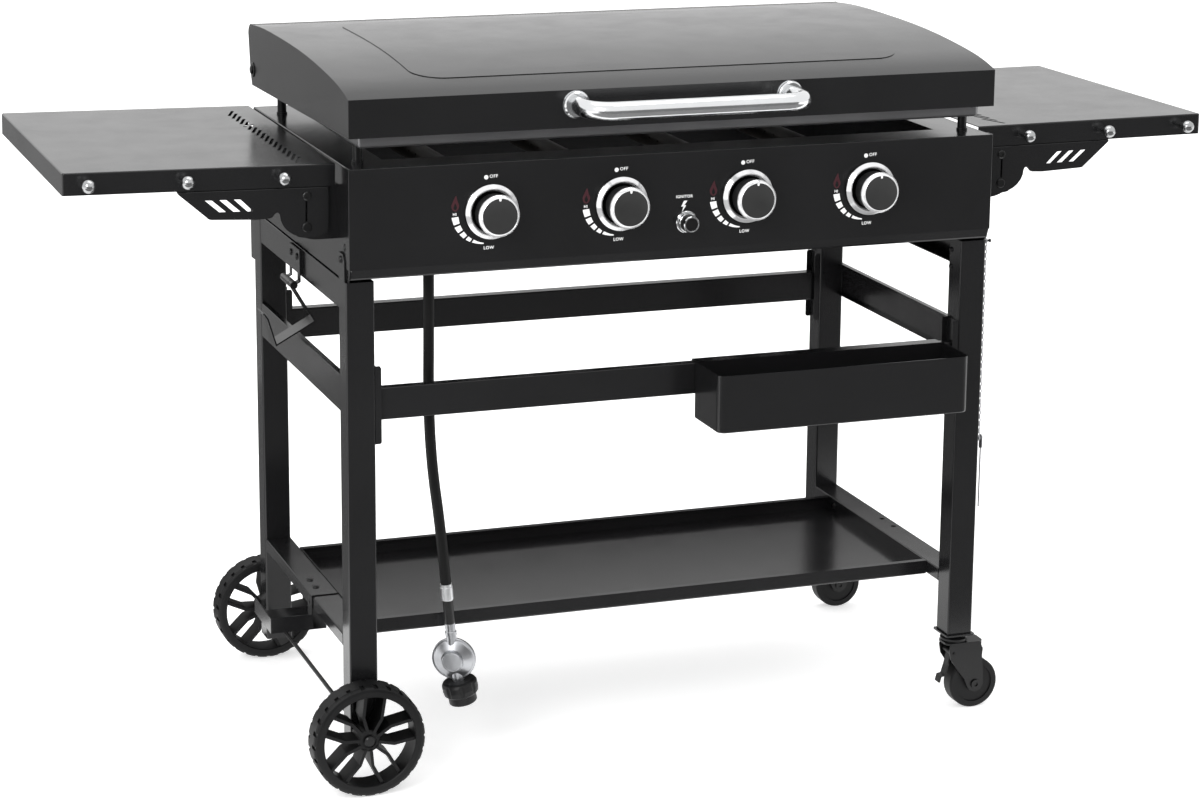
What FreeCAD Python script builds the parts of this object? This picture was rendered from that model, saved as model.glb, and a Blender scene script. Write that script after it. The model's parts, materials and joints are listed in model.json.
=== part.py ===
import FreeCAD, Part
import math, os

# Outdoor gas griddle station: closed firebox with four burners on a tube
# frame, hinged lid, two fold-down side shelves, two wheels and two casters.
# Millimetres, +Z up, origin on the floor under the middle of the object,
# width along X, front towards -Y.

V = FreeCAD.Vector

# ---------------------------------------------------------------- dimensions
SH = 1.2            # sheet thickness of panels
BODY_HW = 457.4     # half width over the panel's side flanges
WALL_HW = 456.2     # half width over the side walls
BODY_F = -263.0     # front face of the control panel
BODY_R = 263.0      # rear face of the firebox
BODY_TOP = 841.0
PANEL_BOT = 695.5
PANEL_CREASE = 709.0
SIDE_BOT = 691.0

LEG = 38.0          # square tube
LEG_T = 1.5
LEG_OUT = 459.0     # outer face of the legs, |X|
LEG_IN = LEG_OUT - LEG
LEG_CX = LEG_OUT - LEG / 2
LEG_FF = -251.0     # front face of the front legs
LEG_RF = 223.6      # front face of the rear legs
LEG_TOP = 690.5
LEG_BOT_L = 50.0
LEG_BOT_R = 116.0

LID_HW = 456.5
LID_T = 1.5
LID_F = -263.0
HINGE_Y, HINGE_Z = 260.0, 895.0

GRID_HW = 441.0
GRID_F, GRID_R = -250.0, 219.0
GRID_BOT = 864.5

SHELF_IN, SHELF_OUT = 462.0, 814.0
SHELF_F, SHELF_R = -210.0, 278.0
SHELF_TOP, SHELF_SKIRT = 843.3, 29.0
TILT_R, TILT_L = 0.26, 0.96        # the open shelves rise outwards by this many degrees
DROP_L = 1.9                       # the left shelf sits this much lower than the right one
FOLD_X, FOLD_Z = 499.0, 761.0       # shelf hinge bolts

KNOB_X = [-265.5, -85.7, 94.1, 273.9]
KNOB_Z = 775.8
IGN_X, IGN_Z = 5.8, 746.0

WHEEL_R, WHEEL_W = 76.5, 40.0
WHEEL_X = -443.5
AXLE_R = 3.0
CAST_R, CAST_W = 37.0, 24.0
CAST_TRAIL = 28.5
CAST_Y = [-232.0, 242.6]

TRAY_HW, TRAY_F, TRAY_R = 420.8, -175.0, 171.0
BIN_X0, BIN_X1, BIN_F, BIN_B = 28.6, 398.6, -335.0, -247.0
BIN_Z0, BIN_Z1 = 469.0, 548.2

# the origin is moved to the middle of the floor area that the object covers:
# the bin's front is at -335 and the rear wheel's face at +320
ORIGIN_SHIFT_Y = 7.5

OUT = {}


# ------------------------------------------------------------------- helpers
def box(x0, x1, y0, y1, z0, z1):
    x0, x1 = min(x0, x1), max(x0, x1)
    y0, y1 = min(y0, y1), max(y0, y1)
    z0, z1 = min(z0, z1), max(z0, z1)
    return Part.makeBox(x1 - x0, y1 - y0, z1 - z0, V(x0, y0, z0))


def cyl(p, d, r, h):
    return Part.makeCylinder(r, h, V(*p), V(*d))


def ring(p, d, ro, ri, h):
    q = [p[i] - d[i] for i in range(3)]
    return cyl(p, d, ro, h).cut(cyl(q, d, ri, h + 2))


def poly(points, vec):
    w = Part.makePolygon([V(*p) for p in points] + [V(*points[0])])
    return Part.Face(w).extrude(V(*vec))


def xz(points, y0, y1):
    return poly([(a, y0, b) for a, b in points], (0, y1 - y0, 0))


def yz(points, x0, x1):
    return poly([(x0, a, b) for a, b in points], (x1 - x0, 0, 0))


def xy(points, z0, z1):
    return poly([(a, b, z0) for a, b in points], (0, 0, z1 - z0))


def fuse(items):
    s = items[0]
    if len(items) > 1:
        s = s.multiFuse(items[1:])
    return s.removeSplitter()


def cut(s, items):
    for t in items:
        s = s.cut(t)
    return s


def mirror_x(s):
    return s.mirror(V(0, 0, 0), V(1, 0, 0))


def fillet(s, r, test):
    edges = [e for e in s.Edges if test(e)]
    try:
        f = s.makeFillet(r, edges)
        if f.isValid() and f.Volume > 0:
            return f
    except Exception:
        pass
    return s


def along(e, axis):
    if not isinstance(e.Curve, Part.Line):
        return False
    d = e.Curve.Direction
    return abs(abs([d.x, d.y, d.z][axis]) - 1) < 1e-6


def mid(e):
    b = e.BoundBox
    return (b.XMin + b.XMax) / 2, (b.YMin + b.YMax) / 2, (b.ZMin + b.ZMax) / 2


def lathe(profile, p, d):
    # profile: closed list of (radius, height); turned about the axis d at p
    pts = [V(r, 0, h) for r, h in profile]
    face = Part.Face(Part.makePolygon(pts + [pts[0]]))
    s = face.revolve(V(0, 0, 0), V(0, 0, 1), 360)
    rot = FreeCAD.Rotation(V(0, 0, 1), V(*d))
    s.Placement = FreeCAD.Placement(V(*p), rot)
    return Part.Solid(s) if s.ShapeType != "Solid" else s


def strip(points, t, y0, y1):
    # bent strip in the XZ plane: offset polyline of thickness t
    n = len(points)
    left, right = [], []
    for i in range(n):
        if i == 0:
            d = (points[1][0] - points[0][0], points[1][1] - points[0][1])
            l = math.hypot(*d)
            m = (-d[1] / l, d[0] / l)
            k = 1.0
        elif i == n - 1:
            d = (points[-1][0] - points[-2][0], points[-1][1] - points[-2][1])
            l = math.hypot(*d)
            m = (-d[1] / l, d[0] / l)
            k = 1.0
        else:
            a = (points[i][0] - points[i - 1][0], points[i][1] - points[i - 1][1])
            b = (points[i + 1][0] - points[i][0], points[i + 1][1] - points[i][1])
            la, lb = math.hypot(*a), math.hypot(*b)
            na, nb = (-a[1] / la, a[0] / la), (-b[1] / lb, b[0] / lb)
            m = (na[0] + nb[0], na[1] + nb[1])
            lm = math.hypot(*m)
            m = (m[0] / lm, m[1] / lm)
            k = 1.0 / max(0.3, m[0] * na[0] + m[1] * na[1])
        left.append((points[i][0] + m[0] * k * t / 2, points[i][1] + m[1] * k * t / 2))
        right.append((points[i][0] - m[0] * k * t / 2, points[i][1] - m[1] * k * t / 2))
    return xz(left + right[::-1], y0, y1)


def tube_path(points, r):
    # straight runs joined by tangent arcs, as large as the runs allow
    P = [V(*p) for p in points]
    edges, radii = [], []
    start = P[0]
    length = 0.0
    for i in range(1, len(P) - 1):
        a, b = P[i] - P[i - 1], P[i + 1] - P[i]
        turn = a.getAngle(b)
        keep = 0.45 * min(a.Length, b.Length)
        rad = keep / math.tan(turn / 2)
        ua, ub = V(a), V(b)
        ua.normalize()
        ub.normalize()
        t0 = P[i] - ua * keep
        t1 = P[i] + ub * keep
        m = ub - ua
        m.normalize()
        centre_dist = rad / math.cos(turn / 2)
        mid_pt = P[i] + m * (centre_dist - rad)
        edges.append(Part.LineSegment(start, t0).toShape())
        edges.append(Part.Arc(t0, mid_pt, t1).toShape())
        length += (t0 - start).Length + rad * turn
        radii.append(round(rad, 1))
        start = t1
    edges.append(Part.LineSegment(start, P[-1]).toShape())
    length += (P[-1] - start).Length
    wire = Part.Wire(edges)
    d = P[1] - P[0]
    prof = Part.Wire([Part.Circle(P[0], d, r).toShape()])
    solid = wire.makePipeShell([prof], True, False)
    return solid, length, radii


def group(items):
    return Part.makeCompound(items)


def put(name, shape):
    OUT[name] = shape


# --------------------------------------------------------------------- frame
def leg(sx, yf, z0, plate):
    x0, x1 = sorted((sx * LEG_IN, sx * LEG_OUT))
    s = box(x0, x1, yf, yf + LEG, z0, LEG_TOP)
    s = fillet(s, 3.0, lambda e: along(e, 2))
    inner = box(x0 + LEG_T, x1 - LEG_T, yf + LEG_T, yf + LEG - LEG_T, z0 - 1, LEG_TOP + 1)
    inner = fillet(inner, 1.5, lambda e: along(e, 2))
    s = s.cut(inner)
    cx, cy = sx * LEG_CX, yf + LEG / 2
    if plate:
        p = box(cx - 22, cx + 22, cy - 23, cy + 23, z0 - 2.5, z0)
        p = fillet(p, 3.0, lambda e: along(e, 2))
        s = s.fuse(p).cut(cyl((cx, cy, z0 - 5), (0, 0, 1), 6.06, 10))
    else:
        s = s.cut(cyl((WHEEL_X, yf - 5, WHEEL_R), (0, 1, 0), AXLE_R + 0.06, LEG + 10))
        cap = box(x0 + LEG_T, x1 - LEG_T, yf + LEG_T, yf + LEG - LEG_T, z0, z0 + 2)
        s = s.fuse(cap)
    # the outer wall of the tube carries on upward as a tab on the body's side
    m = 1.0 if yf < 0 else -1.0
    pts = [(cy - m * 11.5, 687.0), (cy - m * 11.5, 718.0), (cy - m * 4.5, 726.0),
           (cy + m * 16.0, 726.0), (cy + m * 16.0, 687.0)]
    lo, hi = sorted((sx * 456.3, sx * LEG_OUT))
    s = s.fuse(yz(pts, lo, hi))
    return s.removeSplitter()


put("leg_front_left", leg(-1, LEG_FF, LEG_BOT_L, False))
put("leg_rear_left", leg(-1, LEG_RF, LEG_BOT_L, False))
put("leg_front_right", leg(1, LEG_FF, LEG_BOT_R, True))
put("leg_rear_right", leg(1, LEG_RF, LEG_BOT_R, True))

RAIL_Y0, RAIL_Y1 = LEG_FF + LEG, LEG_RF


def channel(z0, z1, depth, out):
    # C-channel, web outside, flanges towards the middle of the object
    web = box(out - 1.5, out, RAIL_Y0, RAIL_Y1, z0, z1)
    lo = box(out - depth, out, RAIL_Y0, RAIL_Y1, z0, z0 + 1.5)
    hi = box(out - depth, out, RAIL_Y0, RAIL_Y1, z1 - 1.5, z1)
    s = fuse([web, lo, hi])
    return fillet(s, 1.2, lambda e: along(e, 1) and mid(e)[0] > out - 0.1)


RAIL_OUT = LEG_OUT - 0.8
r = channel(650.0, 689.3, 26.0, RAIL_OUT)
put("upper_side_rails", group([r, mirror_x(r)]))
r = channel(511.5, 561.0, 8.0, LEG_OUT - 0.3)
put("middle_side_rails", group([r, mirror_x(r)]))

r = box(LEG_IN, LEG_OUT, RAIL_Y0, RAIL_Y1, 186.0, 205.0)
r = fillet(r, 2.5, lambda e: along(e, 1))
r = r.cut(box(LEG_IN + 1.5, LEG_OUT - 1.5, RAIL_Y0 - 1, RAIL_Y1 + 1, 187.5, 203.5))
r = cut(r, [cyl((447.0, y, 200.0), (0, 0, 1), 4.1, 8) for y in (32.0, -8.0)])
put("lower_side_rails", group([r, mirror_x(r)]))


def cross_rail(y0, y1):
    s = box(-419.2, 419.2, y0, y1, 503.0, 546.6)
    s = fillet(s, 2.0, lambda e: along(e, 0))
    return s.cut(box(-421, 421, y0 + 1.5, y1 - 1.5, 504.5, 545.1))


put("front_rail", cross_rail(-245.0, -230.6))
put("rear_rail", cross_rail(232.6, 252.6))


def rail_bracket(y0, y1):
    # shallow U on the inner face of a leg, holding the end of a cross rail
    web = box(LEG_IN - 1.5, LEG_IN, y0, y1, 472.0, 577.0)
    pts = [(LEG_IN, 472.0), (LEG_IN, 577.0), (LEG_IN - 6.5, 577.0),
           (LEG_IN - 8.5, 574.0), (LEG_IN - 8.5, 474.0), (LEG_IN - 6.5, 472.0)]
    a = xz(pts, y0, y0 + 1.5)
    b = xz(pts, y1 - 1.5, y1)
    return fuse([web, a, b])


RB = [rail_bracket(-250.0, -215.0), rail_bracket(226.0, 258.0)]
put("rail_end_brackets", group(RB + [mirror_x(b) for b in RB]))

# ----------------------------------------------------------------- floor tray
s = box(-TRAY_HW, TRAY_HW, TRAY_F, TRAY_R, 184.5, 205.0)
s = fillet(s, 3.0, lambda e: along(e, 0) and mid(e)[2] < 185)
s = s.cut(box(-TRAY_HW + SH, TRAY_HW - SH, TRAY_F + SH, TRAY_R - SH, 184.5 + SH, 206.0))
lip = box(-TRAY_HW + SH, TRAY_HW - SH, TRAY_F + SH, TRAY_F + 9, 203.8, 205.0)
lip2 = box(-TRAY_HW + SH, TRAY_HW - SH, TRAY_R - 9, TRAY_R - SH, 203.8, 205.0)
put("bottom_tray", fuse([s, lip, lip2]))

# -------------------------------------------------------------- condiment bin
s = box(BIN_X0, BIN_X1, BIN_F, BIN_B, BIN_Z0, BIN_Z1)
s = fillet(s, 12.0, lambda e: along(e, 2) and mid(e)[1] < BIN_F + 5)
s = fillet(s, 3.0, lambda e: mid(e)[2] < BIN_Z0 + 0.01 and e.Length > 5)
i = box(BIN_X0 + SH, BIN_X1 - SH, BIN_F + SH, BIN_B - SH, BIN_Z0 + SH, BIN_Z1 + 1)
i = fillet(i, 10.8, lambda e: along(e, 2) and mid(e)[1] < BIN_F + 5)
s = s.cut(i)
# lip that hangs over the front rail along the bin's whole length
lip = box(BIN_X0 + 2, BIN_X1 - 2, BIN_B - SH, -228.2, BIN_Z1 - 1.2, BIN_Z1)
lip2 = box(BIN_X0 + 2, BIN_X1 - 2, -229.4, -228.2, 532.0, BIN_Z1)
put("condiment_bin", fuse([s, lip, lip2]))

# ------------------------------------------------ gas bottle bracket and hook
TB0, TB1 = -54.0, 42.0
PAN_X0, PAN_X1, PAN_Z = -519.0, -460.6, 157.0
top = box(PAN_X1, -423.5, TB0, TB1, 205.0, 206.5)
pan = box(PAN_X0, -440.0, TB0, TB1, PAN_Z, PAN_Z + 1.5)
lipo = box(PAN_X0, PAN_X0 + 1.5, TB0, TB1, PAN_Z, 179.0)
wallf = box(PAN_X0, PAN_X1 + 1.5, TB0, TB0 + 1.5, PAN_Z, 179.0)
walli = box(-441.5, -440.0, TB0, TB1, PAN_Z, 185.9)
gus = yz([(TB0, PAN_Z), (TB0, 206.5), (-30.0, 206.5), (-30.0, 190.0), (-37.0, PAN_Z)],
         PAN_X1, PAN_X1 + 1.5)
rim = box(PAN_X1, PAN_X1 + 1.5, TB0, TB1, 200.0, 206.5)
s = fuse([top, pan, lipo, wallf, walli, gus, rim])
s = fillet(s, 1.0, lambda e: abs(mid(e)[0] - PAN_X0) < 0.01 and along(e, 2) and mid(e)[1] < TB0 + 1)
put("tank_tray_bracket", s.cut(cyl((PAN_X1 - 2, -43.0, 193.0), (1, 0, 0), 2.4, 6)))

HOOK_PX, HOOK_PZ = -470.7, 640.0
HP = -462.7         # outer face of the hook bracket
HY0, HY1 = -21.4, 36.0
plate = box(HP, HP + 1.5, HY0, HY1, 655.0, 688.0)
plate = fillet(plate, 3.0, lambda e: along(e, 0) and mid(e)[2] > 687)
sides = [box(HP, -RAIL_OUT - 0.05, y, y + 1.5, 655.0, 688.0) for y in (HY0, HY1 - 1.5)]
tongue = [xz([(HP, 656.0), (HP + 1.5, 656.0), (HP + 1.5, 644.0), (-466.2, 641.3),
              (-466.2, 643.2), (HP, 645.0)], a, b) for a, b in ((HY0, -8.4), (26.6, HY1))]
barrel = [ring((HOOK_PX, a, HOOK_PZ), (0, 1, 0), 5.2, 2.55, b - a)
          for a, b in ((HY0, -8.4), (26.6, HY1 + 1.6))]
s = fuse([plate] + sides + tongue + barrel)
put("tank_hook_bracket", s.cut(cyl((HOOK_PX, -26, HOOK_PZ), (0, 1, 0), 2.55, 80)))

HS = 2.9            # shift that hangs the hook's weight under its pin
HOOK = [(-467.6, 634.0), (-441.5 + HS, 584.5), (-496.2 + HS, 554.5),
        (-507.5 + HS, 592.2), (-513.7 + HS, 600.2)]
h = strip(HOOK, 2.0, -8.0, 26.2)
eye = cyl((HOOK_PX, -8.0, HOOK_PZ), (0, 1, 0), 5.4, 34.2)
pin = cyl((HOOK_PX, -23.4, HOOK_PZ), (0, 1, 0), 2.5, 63.4)
web = strip([(-470.2, 638.5), (-467.6, 634.0)], 2.0, -8.0, 26.2)
h = fuse([h, eye, pin, web, cyl((-467.6, -8.0, 634.0), (0, 1, 0), 1.0, 34.2)])
put("tank_hook", h)

# ------------------------------------------------------- axle and road wheels
put("wheel_axle", cyl((WHEEL_X, -291.1, WHEEL_R), (0, 1, 0), AXLE_R, 608.2))


def road_wheel():
    # open spoked wheel, its outer side towards the front
    y0 = -294.0
    c = (WHEEL_X, y0, WHEEL_R)
    d = (0, 1, 0)
    k1 = WHEEL_W
    tyre = lathe([(62.5, 1.2), (63.6, 0), (70.0, 0), (73.2, 1.0), (75.6, 3.4), (WHEEL_R, 6.4),
                  (WHEEL_R, k1 - 6.4), (75.6, k1 - 3.4), (73.2, k1 - 1.0), (70.0, k1),
                  (63.6, k1), (62.5, k1 - 1.2)], c, d)
    lugs = []
    for k in range(26):
        for a, b, t in ((-1.0, 13.5, 0.0), (WHEEL_W - 13.5, WHEEL_W + 1.0, 0.5)):
            g = box(WHEEL_R - 2.4, WHEEL_R + 3, a, b, -2.9, 2.9)
            g.rotate(V(0, 0, 0), V(0, 1, 0), 360.0 / 26 * (k + t))
            g.translate(V(WHEEL_X, y0, WHEEL_R))
            lugs.append(g)
    tyre = tyre.cut(Part.makeCompound(lugs))
    hub = lathe([(0, 6.0), (13.6, 6.0), (15.0, 7.4), (15.0, k1), (0, k1)], c, d)
    parts = [tyre, hub]
    for k in range(5):
        a = math.radians(82 + 72 * k)
        ca, sa = math.cos(a), math.sin(a)
        for m in (-1, 1):
            line = [(12.0, 4.2 * m), (17.0, 6.2 * m), (32.0, 12.6 * m), (62.9, 13.3 * m)]
            line = [(WHEEL_X + u * ca - v * sa, WHEEL_R + u * sa + v * ca) for u, v in line]
            parts.append(strip(line, 4.2, y0 + 4.5, y0 + 37.5))
    s = fuse(parts)
    groove = ring((WHEEL_X, y0 + 5.0, WHEEL_R), d, 9.6, 8.2, 2.0)
    s = s.cut(groove)
    return s.cut(cyl((WHEEL_X, y0 - 1, WHEEL_R), d, AXLE_R + 0.06, WHEEL_W + 2))


rw = road_wheel()
put("wheel_front_left", rw)
put("wheel_rear_left", rw.mirror(V(0, 13.0, 0), V(0, 1, 0)))


# --------------------------------------------------------------------- casters
def caster(cy, lever):
    cx = LEG_CX
    wx = cx + CAST_TRAIL
    stem = cyl((cx, cy, 96.0), (0, 0, 1), 6.0, 30.0)
    boss = lathe([(0, 0), (16.0, 0), (16.0, 1.6), (19.6, 3.4), (19.6, 6.2), (17.0, 8.0),
                  (13.0, 8.0), (13.0, 12.2), (0, 12.2)], (cx, cy, 101.0), (0, 0, 1))
    top = box(cx - 18.0, cx + 40.0, cy - 17.0, cy + 17.0, 98.6, 101.4)
    top = fillet(top, 9.0, lambda e: along(e, 2))
    cheeks = []
    for y0 in (cy - 17.0, cy + 15.0):
        pts = [(cx - 12.0, 100.0), (cx - 14.5, 92.0), (cx - 12.0, 78.0), (cx - 2.0, 63.0),
               (wx - 17.5, 46.0), (wx - 12.5, 34.0), (wx - 8.5, 28.2), (wx, 25.0),
               (wx + 8.5, 28.2), (wx + 12.5, 36.0), (wx + 12.0, 56.0), (cx + 38.0, 80.0),
               (cx + 39.0, 90.0), (cx + 34.0, 100.0)]
        cheeks.append(xz(pts, y0, y0 + 2.0))
    # the plate's edge is folded down on the trailing side
    fold = box(cx + 38.0, cx + 40.0, cy - 10.0, cy + 10.0, 92.0, 100.0)
    fork = fuse([stem, boss, top, fold] + cheeks)
    axle = cyl((wx, cy - 19.0, CAST_R), (0, 1, 0), 4.0, 38.0)
    heads = [cyl((wx, cy - 19.8, CAST_R), (0, 1, 0), 6.8, 2.9),
             cyl((wx, cy + 16.9, CAST_R), (0, 1, 0), 6.8, 2.9)]
    fork = fuse([fork, axle] + heads)
    sock = xz([(wx + 3.4 * math.cos(math.radians(60 * k)),
                CAST_R + 3.4 * math.sin(math.radians(60 * k))) for k in range(6)],
              cy - 20.5, cy - 18.0)
    fork = fork.cut(sock)
    if lever:
        fork = fork.cut(cyl((cx - 6.5, cy - 20, 86.0), (0, 1, 0), 2.05, 40.0))
    wheel = lathe([(0, 0), (34.6, 0), (36.2, 0.8), (CAST_R, 2.4), (CAST_R, CAST_W - 2.4),
                   (36.2, CAST_W - 0.8), (34.6, CAST_W), (0, CAST_W)],
                  (wx, cy - CAST_W / 2, CAST_R), (0, 1, 0))
    for y0, y1 in ((cy - 13, cy - 10), (cy + 10, cy + 13)):
        g = cyl((wx, y0, CAST_R), (0, 1, 0), 28.0, y1 - y0).cut(
            cyl((wx, y0 - 1, CAST_R), (0, 1, 0), 12.0, 6))
        wheel = wheel.cut(g)
    wheel = wheel.cut(cyl((wx, cy - 20, CAST_R), (0, 1, 0), 4.06, 40))
    return fork, wheel


f, w = caster(CAST_Y[0], True)
put("caster_fork_front", f)
put("caster_wheel_front", w)
f, w = caster(CAST_Y[1], False)
put("caster_fork_rear", f)
put("caster_wheel_rear", w)

# brake lever: narrow pedal over the wheel's inner side, turning on a cross pin
BX, BY, BZ = LEG_CX - 6.5, CAST_Y[0], 86.0
WX = LEG_CX + CAST_TRAIL
pin = cyl((BX, BY - 18.4, BZ), (0, 1, 0), 2.0, 36.8)
lev = strip([(BX, BZ), (WX - 39.0, 66.0), (WX - 43.5, 51.0), (WX - 49.5, 50.0), (WX - 52.0, 41.0)],
            2.4, BY - 6.5, BY + 6.5)
eye = cyl((BX, BY - 13.5, BZ), (0, 1, 0), 4.0, 27.0)
put("brake_lever", fuse([pin, lev, eye]))

# -------------------------------------------------------------------- firebox
WY = BODY_F + SH + 0.1
wpts = [(WY, BODY_TOP), (WY, PANEL_CREASE), (WY + 4.9, PANEL_BOT + 0.6), (WY + 10.0, SIDE_BOT),
        (BODY_R, SIDE_BOT), (BODY_R, BODY_TOP)]
wl = yz(wpts, -WALL_HW, -WALL_HW + SH)
wr = yz(wpts, WALL_HW - SH, WALL_HW)
rear = box(-WALL_HW, WALL_HW, BODY_R - SH, BODY_R, SIDE_BOT, BODY_TOP)
top = box(-WALL_HW, WALL_HW, BODY_F + SH + 0.1, BODY_R, BODY_TOP - SH, BODY_TOP)
top = top.cut(box(-397, 397, -202.8, 205.0, BODY_TOP - 5, BODY_TOP + 5))
top = cut(top, [box(sx * 327.6, sx * 331.0, 249.5, 261.8, BODY_TOP - 5, BODY_TOP + 5) for sx in (-1, 1)])
heat = box(-414.0, 414.0, -204.0, -202.8, 715.0, BODY_TOP)
heat = cut(heat, [cyl((x, -210, 795.0), (0, 1, 0), 15.4, 20) for x in KNOB_X])
# opening for the gas inlet
heat = heat.cut(box(-347.0, -319.0, -207.0, -200.0, 700.0, 790.0))
sl = box(-397.0, -395.8, -204.0, 205.0, 700.0, BODY_TOP)
sr = box(395.8, 397.0, -204.0, 205.0, 700.0, BODY_TOP)
inr = box(-397.0, 397.0, 205.0, 206.2, 700.0, BODY_TOP)
inr = cut(inr, [box(x - 14, x + 14, 200, 210, 786, 804) for x in KNOB_X])
shell = fuse([wl, wr, rear, top, heat, sl, sr, inr])
shell = fillet(shell, 2.0, lambda e: along(e, 1) and abs(abs(mid(e)[0]) - WALL_HW) < 0.01
               and mid(e)[2] > BODY_TOP - 0.1)
OUT["firebox_shell"] = shell

# control panel: one folded sheet with side flanges and a sloping lower strip
face = box(-BODY_HW, BODY_HW, BODY_F, BODY_F + SH, PANEL_CREASE, BODY_TOP)
face = fillet(face, 1.0, lambda e: along(e, 0) and mid(e)[2] > BODY_TOP - 0.01
              and mid(e)[1] < BODY_F + 0.01)
lower = yz([(BODY_F, PANEL_CREASE + 1.0), (BODY_F, PANEL_CREASE), (BODY_F + 4.6, PANEL_BOT + 2.2),
            (BODY_F + 6.2, PANEL_BOT), (BODY_F + 11.4, PANEL_BOT), (BODY_F + 11.4, PANEL_BOT + SH),
            (BODY_F + 6.9, PANEL_BOT + SH), (BODY_F + 5.7, PANEL_BOT + 2.8),
            (BODY_F + SH, PANEL_CREASE + 0.4), (BODY_F + SH, PANEL_CREASE + 1.0)], -454.6, 454.6)
flange = []
for sx in (-1, 1):
    flange.append(box(sx * (BODY_HW - SH), sx * BODY_HW, BODY_F, BODY_F + 18.0, PANEL_CREASE, BODY_TOP))
panel = fuse([face, lower] + flange)
panel = fillet(panel, 1.1, lambda e: along(e, 2) and abs(mid(e)[1] - BODY_F) < 0.01
               and abs(abs(mid(e)[0]) - BODY_HW) < 0.01)
panel = cut(panel, [cyl((x, BODY_F - 2, KNOB_Z), (0, 1, 0), 9.0, 6) for x in KNOB_X])
panel = panel.cut(cyl((IGN_X, BODY_F - 2, IGN_Z), (0, 1, 0), 12.6, 6))
put("control_panel", panel)

shield = box(-457.5, 457.5, BODY_R + 0.2, BODY_R + 1.6, 620.0, 792.0)
ends = []
for sx in (-1, 1):
    ends.append(yz([(BODY_R + 0.2, 620.0), (BODY_R + 0.2, 792.0), (BODY_R + 25.0, 792.0),
                    (BODY_R + 25.0, 616.0), (BODY_R + 6.0, 616.0)],
                   min(sx * 456.1, sx * 457.5), max(sx * 456.1, sx * 457.5)))
shield = fuse([shield] + ends)
slots = [box(x - 22, x + 22, BODY_R - 1, BODY_R + 3, z, z + 5)
         for x in range(-360, 361, 80) for z in (650.0, 668.0)]
put("rear_shield", cut(shield, slots))

# ------------------------------------------------------------------- griddle
g = box(-GRID_HW, GRID_HW, GRID_F, GRID_R, GRID_BOT, 898.0)
g = fillet(g, 6.0, lambda e: (along(e, 2)) or (mid(e)[2] < GRID_BOT + 0.01))
gi = box(-GRID_HW + 3, GRID_HW - 3, GRID_F + 3, GRID_R - 3, GRID_BOT + 5, 900)
gi = fillet(gi, 4.0, lambda e: along(e, 2))
g = g.cut(gi)
g = g.cut(box(-500, 500, GRID_F - 1, GRID_F + 12, 886.0, 900.0))
put("griddle_plate", g)
feet = []
for sx in (-1, 1):
    for y in (-216.0, 189.0):
        a = cyl((sx * 432.5, y, BODY_TOP), (0, 0, 1), 7.5, 3.0)
        b = cyl((sx * 432.5, y, BODY_TOP + 3.0), (0, 0, 1), 6.3, GRID_BOT - BODY_TOP - 3.0)
        feet.append(a.fuse(b).removeSplitter())
put("griddle_feet", group(feet))

# ---------------------------------------------------------- burners and valves
burners = []
for x in KNOB_X:
    b = cyl((x, -216.0 + 12.0, 795.0), (0, 1, 0), 15.0, 394.0)
    b = b.cut(cyl((x, -230.0, 795.0), (0, 1, 0), 13.6, 417.0))
    tab = box(x - 10, x + 10, 187.0, 214.0, 793.5, 795.5)
    b = b.fuse(tab).removeSplitter()
    ports = []
    for y in range(-150, 171, 32):
        for sx in (-1, 1):
            ports.append(cyl((x, y, 795.0), (sx, 0, 0.35), 1.6, 20))
    b = b.cut(Part.makeCompound(ports))
    burners.append(b)
put("burner_tubes", group(burners))

MAN_Y, MAN_Z, MAN_R = -226.0, 775.0, 9.0
man = cyl((-333.0, MAN_Y, MAN_Z), (1, 0, 0), MAN_R, 650.0)
man = man.cut(cyl((-332.0, MAN_Y, MAN_Z), (1, 0, 0), MAN_R - 1.6, 648.0))
elbow = box(-343.0, -323.0, MAN_Y - 10, -190.0, MAN_Z - 10, MAN_Z + 10)
elbow = fillet(elbow, 3.0, lambda e: True)
drop = cyl((-333.0, -200.0, 716.0), (0, 0, 1), 9.5, 52.0)
man = fuse([man, elbow, drop])
HV_BOT = 716.0
put("gas_manifold", man)

valves = []
for x in KNOB_X:
    v = box(x - 12, x + 12, -259.5, -238.0, 763.0, 806.0)
    v = fillet(v, 2.0, lambda e: True)
    saddle = box(x - 10, x + 10, -240.0, -229.0, 766.0, 784.0).cut(
        cyl((x - 20, MAN_Y, MAN_Z), (1, 0, 0), MAN_R + 0.02, 40))
    noz = cyl((x, -238.5, 795.0), (0, 1, 0), 5.0, 42.0)
    v = fuse([v, saddle, noz])
    v = v.cut(cyl((x, -262.0, KNOB_Z), (0, 1, 0), 4.06, 30.0))
    valves.append(v)
put("valve_bodies", group(valves))

for k, x in enumerate(KNOB_X):
    st = cyl((x, -288.0, KNOB_Z), (0, 1, 0), 4.0, 47.0)
    put("valve_stem_%d" % (k + 1), st)
    # knob: cylindrical skirt that widens to a rim, dished front with a bar
    prof = [(0, 0), (24.5, 0), (25.5, 1.5), (25.5, 20.0), (27.8, 23.4), (27.8, 25.4),
            (23.8, 29.8), (22.9, 29.2), (0, 29.2)]
    kn = lathe(prof, (x, -269.5, KNOB_Z), (0, -1, 0))
    kn = kn.cut(cyl((x, -289.0, KNOB_Z), (0, 1, 0), 4.08, 25.0))
    put("knob_%d" % (k + 1), kn)

bezels = []
for x in KNOB_X:
    prof = [(9.2, 0), (37.6, 0), (37.6, 0.8), (36.6, 1.6), (31.6, 6.2), (30.6, 6.4),
            (30.0, 6.0), (29.2, 2.0), (26.0, 1.6), (9.2, 1.6)]
    bezels.append(lathe(prof, (x, BODY_F, KNOB_Z), (0, -1, 0)))
put("knob_bezels", group(bezels))

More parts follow.
